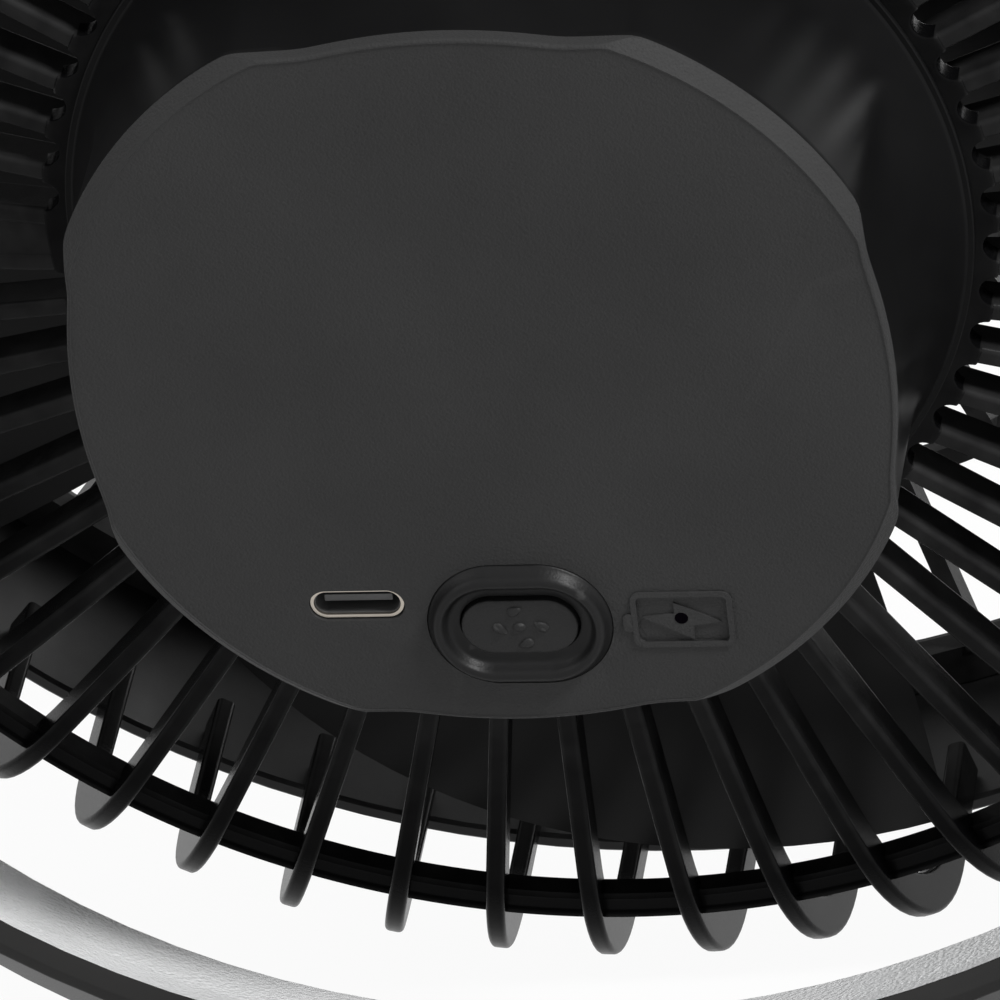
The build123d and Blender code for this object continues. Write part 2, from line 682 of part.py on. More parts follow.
def make_button_seal():
    """Soft raised ring round the button, seated in the cover's well."""
    hole = SlotOverall(button_length + 2 * gap + 0.2, button_height + 2 * gap + 0.2)
    crown = cover_y + seal_proud
    ring = extrude(row(cover_y - well_depth) * SlotOverall(seal_length, seal_height), well_depth)
    ring += loft([row(cover_y) * SlotOverall(seal_length, seal_height),
                  row(crown) * SlotOverall(seal_top_length, seal_top_height)])
    ring -= loft([row(cover_y + button_proud - 0.1) * hole, row(crown) * SlotOverall(dish_length, dish_height)])
    ring -= extrude(row(cover_y - well_depth) * hole, well_depth + button_proud)
    return fillet(edges_at(ring, crown), 0.4)


def make_switch():
    """Tact switch on the board, its plunger just under the button."""
    body = extrude(row(board_y) * Rectangle(6.2, 6.2), 2.6)
    rest = cover_y + button_proud - button_depth - button_travel - 0.15
    return body + extrude(row(board_y + 2.5) * Circle(1.7), rest - board_y - 2.5)


def make_light_pipe():
    """Clear rod that brings the charge lamp to the face."""
    rod = extrude(row(board_y + 0.8, mark_spot) * Circle(lamp_radius), cover_y - board_y - 0.85)
    lamp = extrude(row(board_y, mark_spot) * Rectangle(2.0, 1.4), 0.8)
    return rod + lamp


def make_screws(places: list, y_under: float, y_tip: float):
    """Pan-head screws pointing to the rear, their heads under a face at `y_under`."""
    screws = []
    for x, z in places:
        head = disc(screw_head_radius, y_under - screw_head_height, y_under, x=x, z=z)
        shank = disc(screw_radius, y_under, y_tip, x=x, z=z)
        screws.append((head + shank).solids()[0])
    return Compound(children=screws)


# ---------------------------------------------------------------- build and write
keep("rear_cover", make_cover())
keep("hub_shell", make_hub_shell())
keep("rear_grille", make_rear_grille())
keep("front_band", make_band())
keep("front_grille", make_front_grille())
keep("front_cap", make_front_cap())
keep("button_seal", make_button_seal())
keep("power_button", make_button())
keep("tact_switch", make_switch())
keep("charge_light_pipe", make_light_pipe())
keep("usb_shell", make_usb_shell())
keep("usb_tongue", make_usb_tongue())
keep("control_board", make_board())
keep("board_posts", make_board_posts())
keep("battery_tray", make_tray())
keep("battery_pad", make_pad())
keep("battery_cells", make_cells())
keep("impeller", make_impeller())
keep("stator", make_stator())
keep("stator_coils", make_coils())

mount = disc(mount_radius, mount_front, floor_front) + tube(tube_radius, bearing_radius, front_bearing_y - 1.0, mount_front)
mount -= disc(bearing_radius, front_bearing_y - 2, mount_front)
for x, z in mount_screw_places:
    mount -= disc(screw_radius + 0.05, mount_front - 1, floor_front + 1, x=x, z=z)
keep("motor_mount", mount)
keep("mount_screws", make_screws(mount_screw_places, mount_front, mount_front + screw_length))
keep("hub_screws", make_screws(hub_screw_places, floor_front, floor_front + screw_length))
for label, station in (("rear_bearing", rear_bearing_y), ("front_bearing", front_bearing_y)):
    keep(label, tube(bearing_radius, shaft_radius + 0.02, station, station + bearing_width))
keep("motor_shaft", disc(shaft_radius, web_y - 6.0, rear_bearing_y + bearing_width + 0.5))
can_front = web_y + web_thickness
can = tube(can_outer, can_outer - can_wall, can_front, can_rear) + tube(can_outer, shaft_radius, can_front, can_front + can_wall)
keep("rotor_can", can)
keep("rotor_magnets", tube(magnet_outer, magnet_inner, stator_front - 1.0, stator_rear + 0.5))
keep("blade_nut", turned([(shaft_radius, web_y - 5.6), (3.4, web_y - 5.6), (3.8, web_y - 5.0), (3.8, web_y - 3.0), (shaft_radius, web_y - 3.0)]))
spinner = disc(impeller_hub - impeller_wall - 0.1, impeller_front, impeller_front + 2.0)
spinner += tube(impeller_hub - impeller_wall - 0.1, impeller_hub - impeller_wall - 2.0, impeller_front + 1.0, impeller_front + 6.0)
keep("spinner_cap", spinner)

for side, label in ((-1, "right"), (1, "left")):
    head_x = side * (band_inner - 0.6 + pin_head_height)
    pin = across(pin_radius, head_x, side * (ring_outer - cap_height - 0.3)) \
        + across(pin_head_radius, side * (band_inner - 0.6), head_x)
    keep(f"{label}_pivot_pin", pin)
    washer = across(washer_radius, side * (boss_face + 0.02), side * (boss_face + washer_thickness)) \
        - across(pin_radius + pivot_fit, side * (boss_face - 1), side * (boss_face + washer_thickness + 1))
    keep(f"{label}_friction_washer", washer)
    keep(f"{label}_pivot_cap", across(cap_radius, side * (ring_outer - cap_height), side * ring_outer), swing)
keep("ring_hoop", make_ring_hoop(), swing)
keep("ring_liner", make_ring_liner(), swing)
keep("ring_feet", make_ring_feet())

# the origin is under the middle of the whole object
boxes = [pieces[name].bounding_box() for name in ("ring_hoop", "ring_feet", "rear_cover", "hub_shell", "front_band")]
middle_y = (min(box.min.Y for box in boxes) + max(box.max.Y for box in boxes)) / 2
for name, piece in pieces.items():
    solids = [solid.moved(Location((0, -middle_y, 0))) for solid in piece.solids()]
    out = solids[0] if len(solids) == 1 else Compound(children=solids)
    out.label = name
    export_step(out, f"parts/{name}.step")
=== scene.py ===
"""Finished model of a portable camping fan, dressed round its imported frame."""
import json
import logging
import math
from dataclasses import dataclass, field
from enum import Enum

import bmesh
import bpy
from mathutils import Matrix, Vector


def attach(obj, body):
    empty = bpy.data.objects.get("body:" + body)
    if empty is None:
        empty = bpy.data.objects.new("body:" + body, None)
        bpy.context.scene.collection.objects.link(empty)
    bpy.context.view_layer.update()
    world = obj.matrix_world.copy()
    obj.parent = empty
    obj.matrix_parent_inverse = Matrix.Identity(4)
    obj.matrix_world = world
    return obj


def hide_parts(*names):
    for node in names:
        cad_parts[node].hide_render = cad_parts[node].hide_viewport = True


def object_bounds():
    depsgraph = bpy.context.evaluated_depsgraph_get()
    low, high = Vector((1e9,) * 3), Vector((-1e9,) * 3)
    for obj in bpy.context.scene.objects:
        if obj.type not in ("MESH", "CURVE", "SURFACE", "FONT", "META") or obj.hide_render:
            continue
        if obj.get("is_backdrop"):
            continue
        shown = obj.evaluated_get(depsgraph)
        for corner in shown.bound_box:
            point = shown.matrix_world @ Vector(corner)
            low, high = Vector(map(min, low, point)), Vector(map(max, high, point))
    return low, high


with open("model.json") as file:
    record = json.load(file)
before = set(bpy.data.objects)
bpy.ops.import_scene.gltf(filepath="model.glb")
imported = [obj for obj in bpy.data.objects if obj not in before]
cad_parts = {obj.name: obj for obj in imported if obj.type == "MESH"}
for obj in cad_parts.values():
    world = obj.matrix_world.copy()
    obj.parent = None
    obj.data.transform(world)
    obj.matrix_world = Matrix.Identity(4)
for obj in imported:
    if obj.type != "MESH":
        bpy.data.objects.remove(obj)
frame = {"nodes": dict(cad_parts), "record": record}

logging.basicConfig(level=logging.INFO, format="%(message)s")
log = logging.getLogger("fan")

MM = 0.001
Triple = tuple[float, float, float]
Colour = Triple


# ------------------------------------------------------------------ shader groups
class Kit(Enum):
    """Names of the shader node groups that the finishes share."""

    GRAIN = "fan_fine_grain"
    # Edge scuffing, and a painted highlight along outward edges.
    SCUFF_AND_HIGHLIGHT = "fan_edge_scuff_and_highlight"
    MOTTLE = "fan_soft_mottle"


def new_group(kit: Kit, inputs: dict[str, float], outputs: dict[str, str]) -> bpy.types.NodeTree:
    """Make an empty shader group with named sockets.

    Args:
        kit: which group it is.
        inputs: name and starting value of each number that a finish may set.
        outputs: name and socket type of each result.

    Returns:
        The new node tree, with its two end nodes named "in" and "out".
    """
    tree = bpy.data.node_groups.new(kit.value, "ShaderNodeTree")
    for label, value in inputs.items():
        socket = tree.interface.new_socket(name=label, in_out="INPUT", socket_type="NodeSocketFloat")
        socket.default_value = value
    for label, kind in outputs.items():
        tree.interface.new_socket(name=label, in_out="OUTPUT", socket_type=kind)
    start = tree.nodes.new("NodeGroupInput")
    start.name = "in"
    end = tree.nodes.new("NodeGroupOutput")
    end.name = "out"
    return tree


def grain_group() -> bpy.types.NodeTree:
    """Moulded grain: a fine and a coarser noise mixed into one height, a mask and a normal."""
    tree = new_group(Kit.GRAIN, {"Scale": 9000.0, "Depth": 0.2, "Step": 0.00004},
                     {"Speckle": "NodeSocketFloat", "Normal": "NodeSocketVector"})
    nodes, links = tree.nodes, tree.links
    place = nodes.new("ShaderNodeTexCoord")
    fine = nodes.new("ShaderNodeTexNoise")
    fine.inputs["Detail"].default_value = 2.0
    cells = nodes.new("ShaderNodeTexVoronoi")
    half = nodes.new("ShaderNodeMath")
    half.operation = "MULTIPLY"
    half.inputs[1].default_value = 0.6
    blend = nodes.new("ShaderNodeMath")
    blend.operation = "ADD"
    bump = nodes.new("ShaderNodeBump")
    links.new(place.outputs["Object"], fine.inputs["Vector"])
    links.new(place.outputs["Object"], cells.inputs["Vector"])
    links.new(nodes["in"].outputs["Scale"], fine.inputs["Scale"])
    links.new(nodes["in"].outputs["Scale"], half.inputs[0])
    links.new(half.outputs[0], cells.inputs["Scale"])
    links.new(fine.outputs["Fac"], blend.inputs[0])
    links.new(cells.outputs["Distance"], blend.inputs[1])
    links.new(blend.outputs[0], bump.inputs["Height"])
    links.new(nodes["in"].outputs["Depth"], bump.inputs["Strength"])
    links.new(nodes["in"].outputs["Step"], bump.inputs["Distance"])
    links.new(fine.outputs["Fac"], nodes["out"].inputs["Speckle"])
    links.new(bump.outputs["Normal"], nodes["out"].inputs["Normal"])
    return tree


def scuff_and_highlight_group() -> bpy.types.NodeTree:
    """Mask that is 1 on outward edges and 0 on open faces, broken up by noise: scuffing, and a painted
    highlight along those edges.
    """
    tree = new_group(Kit.SCUFF_AND_HIGHLIGHT, {"Gain": 0.5}, {"Edge": "NodeSocketFloat"})
    nodes, links = tree.nodes, tree.links
    shape = nodes.new("ShaderNodeNewGeometry")
    gain = nodes.new("ShaderNodeMapRange")
    gain.inputs["From Min"].default_value = 0.53
    gain.inputs["From Max"].default_value = 0.62
    place = nodes.new("ShaderNodeTexCoord")
    patch = nodes.new("ShaderNodeTexNoise")
    patch.inputs["Scale"].default_value = 260.0
    broken = nodes.new("ShaderNodeMath")
    broken.operation = "MULTIPLY"
    broken.use_clamp = True
    links.new(shape.outputs["Pointiness"], gain.inputs["Value"])
    links.new(nodes["in"].outputs["Gain"], gain.inputs["To Max"])
    links.new(place.outputs["Object"], patch.inputs["Vector"])
    links.new(gain.outputs[0], broken.inputs[0])
    links.new(patch.outputs["Fac"], broken.inputs[1])
    links.new(broken.outputs[0], nodes["out"].inputs["Edge"])
    return tree


def mottle_group() -> bpy.types.NodeTree:
    """Slow variation over a surface, as handling and moulding leave it."""
    tree = new_group(Kit.MOTTLE, {"Scale": 40.0, "Low": 0.35, "High": 0.65}, {"Patch": "NodeSocketFloat"})
    nodes, links = tree.nodes, tree.links
    place = nodes.new("ShaderNodeTexCoord")
    cloud = nodes.new("ShaderNodeTexNoise")
    cloud.inputs["Detail"].default_value = 4.0
    spread = nodes.new("ShaderNodeMapRange")
    links.new(place.outputs["Object"], cloud.inputs["Vector"])
    links.new(nodes["in"].outputs["Scale"], cloud.inputs["Scale"])
    links.new(cloud.outputs["Fac"], spread.inputs["Value"])
    links.new(nodes["in"].outputs["Low"], spread.inputs["From Min"])
    links.new(nodes["in"].outputs["High"], spread.inputs["From Max"])
    links.new(spread.outputs["Result"], nodes["out"].inputs["Patch"])
    return tree


# ------------------------------------------------------------------ finishes
@dataclass(frozen=True)
class Finish:
    """One procedural finish, made once and shared by the pieces that have it.

    Attributes:
        name: the record's material slot.
        base: main colour, linear.
        light: colour of the lighter patches, linear.
        scuff_and_highlight_colour: colour on outward edges, linear: scuffing, and a painted highlight where
            it is lighter than the base.
        rough: roughness of the smoother and of the rougher patches.
        metallic: 0 for plastic, 1 for metal.
        grain: scale of the moulded grain, per metre.
        depth: strength of the grain's bump.
        step: height of the grain, in metres.
        mottle: scale of the slow variation, per metre.
        scuff_and_highlight: gain of the edge scuffing and of the painted edge highlight.
        specular: specular level.
    """

    name: str
    base: Colour
    light: Colour
    scuff_and_highlight_colour: Colour
    rough: tuple[float, float] = (0.5, 0.6)
    metallic: float = 0.0
    grain: float = 9000.0
    depth: float = 0.15
    step: float = 0.00003
    mottle: float = 45.0
    scuff_and_highlight: float = 0.5
    specular: float = 0.5

    def material(self) -> bpy.types.Material:
        """Find this finish's material, or make it."""
        known = bpy.data.materials.get("fan_" + self.name)
        if known:
            return known
        skin = bpy.data.materials.new("fan_" + self.name)
        skin.use_nodes = True
        nodes, links = skin.node_tree.nodes, skin.node_tree.links
        shader = nodes["Principled BSDF"]
        shader.inputs["Metallic"].default_value = self.metallic
        shader.inputs["Specular IOR Level"].default_value = self.specular
        grain = place_group(nodes, Kit.GRAIN, {"Scale": self.grain, "Depth": self.depth, "Step": self.step})
        patches = place_group(nodes, Kit.MOTTLE, {"Scale": self.mottle})
        edges = place_group(nodes, Kit.SCUFF_AND_HIGHLIGHT, {"Gain": self.scuff_and_highlight})
        ground = colour_mix(nodes, self.base, self.light)
        links.new(patches.outputs["Patch"], ground.inputs["Factor"])
        # Outward edges take the edge colour: scuffing, and a painted highlight where that colour is lighter
        # than the base.
        edge_scuff_and_highlight = colour_mix(nodes, self.base, self.scuff_and_highlight_colour)
        links.new(edges.outputs["Edge"], edge_scuff_and_highlight.inputs["Factor"])
        links.new(ground.outputs["Result"], edge_scuff_and_highlight.inputs["A"])
        links.new(edge_scuff_and_highlight.outputs["Result"], shader.inputs["Base Color"])
        rough = nodes.new("ShaderNodeMapRange")
        rough.inputs["To Min"].default_value = self.rough[0]
        rough.inputs["To Max"].default_value = self.rough[1]
        links.new(grain.outputs["Speckle"], rough.inputs["Value"])
        links.new(rough.outputs["Result"], shader.inputs["Roughness"])
        links.new(grain.outputs["Normal"], shader.inputs["Normal"])
        return skin


def place_group(nodes: bpy.types.Nodes, kit: Kit, values: dict[str, float]) -> bpy.types.Node:
    """Put one of the shared groups into a material.

    Args:
        nodes: the material's nodes.
        kit: which group.
        values: the numbers that this material sets on it.

    Returns:
        The new group node.
    """
    node = nodes.new("ShaderNodeGroup")
    node.node_tree = bpy.data.node_groups[kit.value]
    for label, value in values.items():
        node.inputs[label].default_value = value
    return node


def colour_mix(nodes: bpy.types.Nodes, a: Colour, b: Colour) -> "ColourMix":
    """Mix node for two colours, reached by name."""
    node = nodes.new("ShaderNodeMix")
    node.data_type = "RGBA"
    node.inputs[6].default_value = (*a, 1.0)
    node.inputs[7].default_value = (*b, 1.0)
    return ColourMix({"Factor": node.inputs[0], "A": node.inputs[6]}, {"Result": node.outputs[2]})


@dataclass(frozen=True)
class ColourMix:
    """The sockets of a colour mix that the finishes use."""

    inputs: dict[str, bpy.types.NodeSocket]
    outputs: dict[str, bpy.types.NodeSocket]


FINISHES: dict[str, Finish] = {finish.name: finish for finish in (
    # soft_touch: the lighter edge colour on the cover is partly scuffing, partly a painted rim highlight.
    Finish("soft_touch", (0.026, 0.026, 0.0262), (0.031, 0.031, 0.0312), (0.05, 0.05, 0.05),
           rough=(0.55, 0.8), grain=5600, depth=0.8, step=0.00006, scuff_and_highlight=0.25, specular=0.16),
    Finish("gloss_black", (0.0042, 0.0042, 0.0044), (0.006, 0.006, 0.0062), (0.01, 0.01, 0.01),
           rough=(0.34, 0.42), grain=120, depth=0.05, step=0.0004, specular=0.05),
    # cage_black: the pale edge colour at full gain is a painted highlight along the edges of the ribs and
    # grille bars.
    Finish("cage_black", (0.0018, 0.0018, 0.002), (0.0028, 0.0028, 0.003), (0.06, 0.06, 0.06),
           rough=(0.2, 0.3), grain=6500, depth=0.3, scuff_and_highlight=1.0, specular=0.02),
    Finish("band_grey", (0.016, 0.016, 0.0163), (0.021, 0.021, 0.0215), (0.05, 0.05, 0.05),
           rough=(0.42, 0.56), specular=0.2),
    Finish("seal_rubber", (0.007, 0.007, 0.0072), (0.009, 0.009, 0.0092), (0.04, 0.04, 0.04),
           rough=(0.36, 0.48), grain=5200, depth=0.35, step=0.00003, scuff_and_highlight=1.0, specular=0.16),
    Finish("button_black", (0.014, 0.014, 0.0142), (0.018, 0.018, 0.0182), (0.05, 0.05, 0.05),
           rough=(0.4, 0.55), grain=5200, depth=0.6, step=0.00005, scuff_and_highlight=1.2, specular=0.18),
    Finish("switch_body", (0.03, 0.03, 0.03), (0.04, 0.04, 0.04), (0.08, 0.08, 0.08)),
    # clear_pipe: near-black and opaque, a painted shade for the dark inside that shows through the clear
    # pipe.
    Finish("clear_pipe", (0.0015, 0.001, 0.002), (0.002, 0.0014, 0.0026), (0.002, 0.0014, 0.0026),
           rough=(0.4, 0.5), scuff_and_highlight=0.0, specular=0.0),
    Finish("socket_steel", (0.4, 0.36, 0.31), (0.46, 0.42, 0.37), (0.6, 0.56, 0.5),
           rough=(0.3, 0.4), metallic=1.0),
    Finish("tongue_black", (0.05, 0.05, 0.05), (0.07, 0.07, 0.07), (0.1, 0.1, 0.1)),
    Finish("board", (0.02, 0.12, 0.05), (0.03, 0.16, 0.07), (0.2, 0.25, 0.15), rough=(0.3, 0.4)),
    Finish("inner_plastic", (0.05, 0.05, 0.05), (0.06, 0.06, 0.06), (0.1, 0.1, 0.1)),
    Finish("cell_wrap", (0.05, 0.22, 0.42), (0.06, 0.25, 0.46), (0.2, 0.35, 0.5), rough=(0.2, 0.3)),
    Finish("foam", (0.06, 0.06, 0.06), (0.08, 0.08, 0.08), (0.1, 0.1, 0.1), rough=(0.85, 0.95)),
    Finish("laminations", (0.35, 0.35, 0.36), (0.42, 0.42, 0.43), (0.5, 0.5, 0.5),
           rough=(0.3, 0.45), metallic=1.0),
    Finish("copper", (0.6, 0.28, 0.12), (0.68, 0.33, 0.15), (0.8, 0.45, 0.25),
           rough=(0.25, 0.4), metallic=1.0),
    Finish("bearing_steel", (0.55, 0.55, 0.56), (0.62, 0.62, 0.63), (0.75, 0.75, 0.75), rough=(0.2, 0.32),
           metallic=1.0),
    Finish("hoop_black", (0.010, 0.0099, 0.0098), (0.014, 0.0138, 0.0136), (0.05, 0.047, 0.044),
           rough=(0.38, 0.54), specular=0.2),
    Finish("bright_liner", (0.8, 0.805, 0.81), (0.9, 0.905, 0.91), (0.95, 0.95, 0.95),
           rough=(0.34, 0.5), metallic=0.1, grain=3200, depth=1.0, step=0.00014),
    Finish("foot_rubber", (0.018, 0.018, 0.018), (0.024, 0.024, 0.024), (0.05, 0.05, 0.05), rough=(0.7, 0.85),
           specular=0.2),
    Finish("washer_grey", (0.12, 0.12, 0.12), (0.15, 0.15, 0.15), (0.2, 0.2, 0.2)),
    Finish("blade_black", (0.006, 0.006, 0.0062), (0.009, 0.009, 0.0092), (0.03, 0.03, 0.03),
           rough=(0.3, 0.42), specular=0.14),
    Finish("magnet", (0.12, 0.12, 0.13), (0.15, 0.15, 0.16), (0.2, 0.2, 0.2), metallic=1.0),
)}


# ------------------------------------------------------------------ placing
class Stance:
    """Where the head stands, read from the frame's joints."""

    def joint(self, name: str) -> dict:
        """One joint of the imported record, by name."""
        return next(j for j in frame["record"]["behaviour"]["joints"] if j["name"] == name)

    def head(self) -> Matrix:
        """Turn head millimetres, with the fan's axis along Y, into metres where the head stands."""
        axis = self.joint("fan_spin")["axis"]
        lean = math.atan2(abs(axis[2]), abs(axis[1]))
        pivot = Matrix.Translation(Vector(self.joint("ring_swing")["pos_m"]))
        return pivot @ Matrix.Rotation(-lean, 4, "X") @ Matrix.Scale(MM, 4)


# ------------------------------------------------------------------ mesh making
class Work:
    """A mesh being shaped in the head's millimetres until it is set in place.

    Attributes:
        name: name of the finished piece.
        bm: the mesh under the tools.
    """

    def __init__(self, name: str) -> None:
        """Start with nothing on the bench."""
        self.name = name
        self.bm = bmesh.new()

    def lathe(self, profile: list[tuple[float, float]], steps: int = 224) -> None:
        """Spin a closed outline of (radius, y) corners about the fan's axis."""
        bm = self.bm
        verts = [bm.verts.new((radius, y, 0.0)) for radius, y in profile]
        edges = [bm.edges.new((a, b)) for a, b in zip(verts, verts[1:] + verts[:1])]
        bmesh.ops.spin(bm, geom=verts + edges, cent=(0, 0, 0), axis=(0, 1, 0), dvec=(0, 0, 0),
                       angle=2 * math.pi, steps=steps, use_merge=True, use_duplicate=False)
        self.tidy()

    def loops(self, rings: list["Ring"], segments: int, close: bool = False) -> None:
        """Stack closed rings into one skin.

        Args:
            rings: the rings in order, each a function of the angle.
            segments: points on every ring.
            close: join the last ring to the first instead of capping both ends.
        """
        bm = self.bm
        made = bmesh.ops.create_circle(bm, cap_ends=False, segments=segments, radius=1.0)
        loop = sorted(made["verts"], key=lambda v: math.atan2(v.co.y, v.co.x))
        angles = [math.atan2(v.co.y, v.co.x) for v in loop]
        first = [e for e in bm.edges if all(v in made["verts"] for v in e.verts)]
        for vert, angle in zip(loop, angles):
            vert.co = rings[0](angle)
        edges = first
        for ring in rings[1:]:
            grown = bmesh.ops.extrude_edge_only(bm, edges=edges)["geom"]
            verts = [g for g in grown if isinstance(g, bmesh.types.BMVert)]
            follow = {}
            for vert in verts:
                for edge in vert.link_edges:
                    other = edge.other_vert(vert)
                    if other in loop:
                        follow[other] = vert
            loop = [follow[v] for v in loop]
            for vert, angle in zip(loop, angles):
                vert.co = ring(angle)
            fresh = set(loop)
            edges = [g for g in grown if isinstance(g, bmesh.types.BMEdge) and set(g.verts) <= fresh]
        if close:
            bmesh.ops.bridge_loops(bm, edges=first + edges)
        else:
            bmesh.ops.contextual_create(bm, geom=first)
            bmesh.ops.contextual_create(bm, geom=edges)
        self.tidy()

    def push(self, faces: list[bmesh.types.BMFace], way: Vector | Triple) -> list[bmesh.types.BMFace]:
        """Extrude faces along a straight way.

        Args:
            faces: the faces to extrude.
            way: how far and where they go.

        Returns:
            The faces at the far end.
        """
        grown = bmesh.ops.extrude_face_region(self.bm, geom=faces)["geom"]
        bmesh.ops.translate(self.bm, verts=[g for g in grown if isinstance(g, bmesh.types.BMVert)], vec=way)
        return [g for g in grown if isinstance(g, bmesh.types.BMFace)]

    def copy_of(self, node: str, place: Matrix) -> None:
        """Take a merged copy of a frame node into head millimetres."""
        self.bm.from_mesh(frame["nodes"][node].data)
        self.bm.transform(place.inverted())
        bmesh.ops.remove_doubles(self.bm, verts=self.bm.verts, dist=0.002)
        bmesh.ops.dissolve_limit(self.bm, angle_limit=math.radians(0.6), verts=self.bm.verts,
                                 edges=self.bm.edges, use_dissolve_boundaries=False)

    def tidy(self) -> None:
        """Merge doubles and turn every face outwards."""
        bmesh.ops.remove_doubles(self.bm, verts=self.bm.verts, dist=0.0005)
        bmesh.ops.recalc_face_normals(self.bm, faces=self.bm.faces)

    def soften(self, width: float, segments: int = 2, angle: float = 32.0) -> None:
        """Round every edge that is sharper than an angle."""
        limit = math.radians(angle)
        sharp = [e for e in self.bm.edges if len(e.link_faces) == 2 and e.calc_face_angle(0.0) > limit]
        bmesh.ops.bevel(self.bm, geom=sharp, offset=width, offset_type="OFFSET", segments=segments,
                        profile=0.5, affect="EDGES", material=-1, clamp_overlap=True)

    def add(self, other: "Work", turn: Matrix | None = None) -> None:
        """Join another piece of work to this one, leaving it as it is."""
        data = bpy.data.meshes.new("bench")
        other.bm.to_mesh(data)
        if turn is not None:
            data.transform(turn)
        self.bm.from_mesh(data)
        bpy.data.meshes.remove(data)

    def carve(self, cutters: list["Work"]) -> None:
        """Cut other solids out of this one."""
        body = self.object_now()
        rest = []
        for cutter in cutters:
            tool = cutter.object_now()
            rest.append(tool)
            cut = body.modifiers.new("cut", "BOOLEAN")
            cut.operation = "DIFFERENCE"
            cut.solver = "EXACT"
            cut.object = tool
        bpy.context.view_layer.update()
        done = bpy.data.meshes.new_from_object(body.evaluated_get(bpy.context.evaluated_depsgraph_get()))
        self.bm.free()
        self.bm = bmesh.new()
        self.bm.from_mesh(done)
        bpy.data.meshes.remove(done)
        for tool in rest + [body]:
            data = tool.data
            bpy.data.objects.remove(tool)
            bpy.data.meshes.remove(data)

    def object_now(self) -> bpy.types.Object:
        """A passing object that holds the mesh as it stands."""
        data = bpy.data.meshes.new("bench")
        self.bm.to_mesh(data)
        thing = bpy.data.objects.new("bench", data)
        bpy.context.scene.collection.objects.link(thing)
        return thing

    def place(self, where: Matrix, slot: str, body: str, nodes: tuple[str, ...],
              smooth: float) -> None:
        """Set the finished mesh where it belongs and give it its finish.

        Args:
            where: matrix from head millimetres to the frame.
            slot: the record's material slot, which names the finish.
            body: the moving body it rides on.
            nodes: the frame nodes it stands for.
            smooth: edges sharper than this, in degrees, stay crisp.
        """
        self.bm.transform(where)
        data = bpy.data.meshes.new(self.name)
        self.bm.to_mesh(data)
        self.bm.free()
        data.polygons.foreach_set("use_smooth", [True] * len(data.polygons))
        data.set_sharp_from_angle(angle=math.radians(smooth))
        data.materials.append(FINISHES[slot].material())
        thing = bpy.data.objects.new(self.name, data)
        bpy.context.scene.collection.objects.link(thing)
        even = thing.modifiers.new("even", "WEIGHTED_NORMAL")
        even.keep_sharp = True
        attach(thing, body)
        if nodes:
            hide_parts(*nodes)
        log.info("piece %s: %d faces", self.name, len(data.polygons))


# ------------------------------------------------------------------ curves about the axis
def about_axis(radius: float, y: float, angle: float) -> Vector:
    """Point at a distance from the fan's axis, in one direction round it."""
    return Vector((radius * math.cos(angle), y, radius * math.sin(angle)))


class Ring:
    """A closed curve about an axis, read by angle."""

    def __call__(self, angle: float) -> Vector:
        """Point of the curve in one direction."""
        raise NotImplementedError


@dataclass
class Round(Ring):
    """Circle about the fan's axis."""

    radius: float
    y: float

    def __call__(self, angle: float) -> Vector:
        """Point of the circle in one direction."""
        return about_axis(self.radius, self.y, angle)


@dataclass
class Cushion:
    """The cover's outline: four corner arcs and four bowed sides with hollow shoulders.

    Attributes:
        arc: radius of the corner arcs.
        sides: distance to the middle of the left and right, and of the top and bottom side.
        bow: radius of a side.
        shoulder: how far the flats beside a bow lie inside it.
        blend: softness of the changes between them.
        facing: cosine of the widest angle at which a side still counts.
    """

    arc: float = 41.6
    sides: tuple[float, float] = (39.2, 38.3)
    bow: float = 52.0
    shoulder: float = 1.4
    blend: float = 0.35
    facing: float = 0.6

    def reach(self, angle: float) -> float:
        """Distance from the axis to the outline in one direction."""
        reach = self.arc
        for quarter in range(4):
            ahead = math.cos(angle - quarter * math.pi / 2)
            aside = math.sin(angle - quarter * math.pi / 2)
            if ahead < self.facing:
                continue
            side = self.sides[quarter % 2]
            centre = side - self.bow
            bowed = centre * ahead + math.sqrt(self.bow ** 2 - (centre * aside) ** 2)
            reach = least(reach, most(bowed, (side - self.shoulder) / ahead, self.blend), self.blend)
        return reach


def most(a: float, b: float, soft: float) -> float:
    """The larger of two lengths, with a soft change from one to the other."""
    return 0.5 * (a + b + math.sqrt((a - b) ** 2 + soft ** 2))


def least(a: float, b: float, soft: float) -> float:
    """The smaller of two lengths, with a soft change from one to the other."""
    return 0.5 * (a + b - math.sqrt((a - b) ** 2 + soft ** 2))


@dataclass
class Outline(Ring):
    """The cover's outline at a station.

    Attributes:
        form: the outline.
        y: the station.
        inset: how far it is drawn in.
        cone: smallest radius it keeps, or 0 for none.
        soft: softness of the change to that radius.
    """

    form: Cushion
    y: float
    inset: float = 0.0
    cone: float = 0.0
    soft: float = 0.9

    def __call__(self, angle: float) -> Vector:
        """Point of the outline in one direction."""
        radius = self.form.reach(angle) - self.inset
        if self.cone:
            radius = most(radius, self.cone, self.soft)
        return about_axis(radius, self.y, angle)


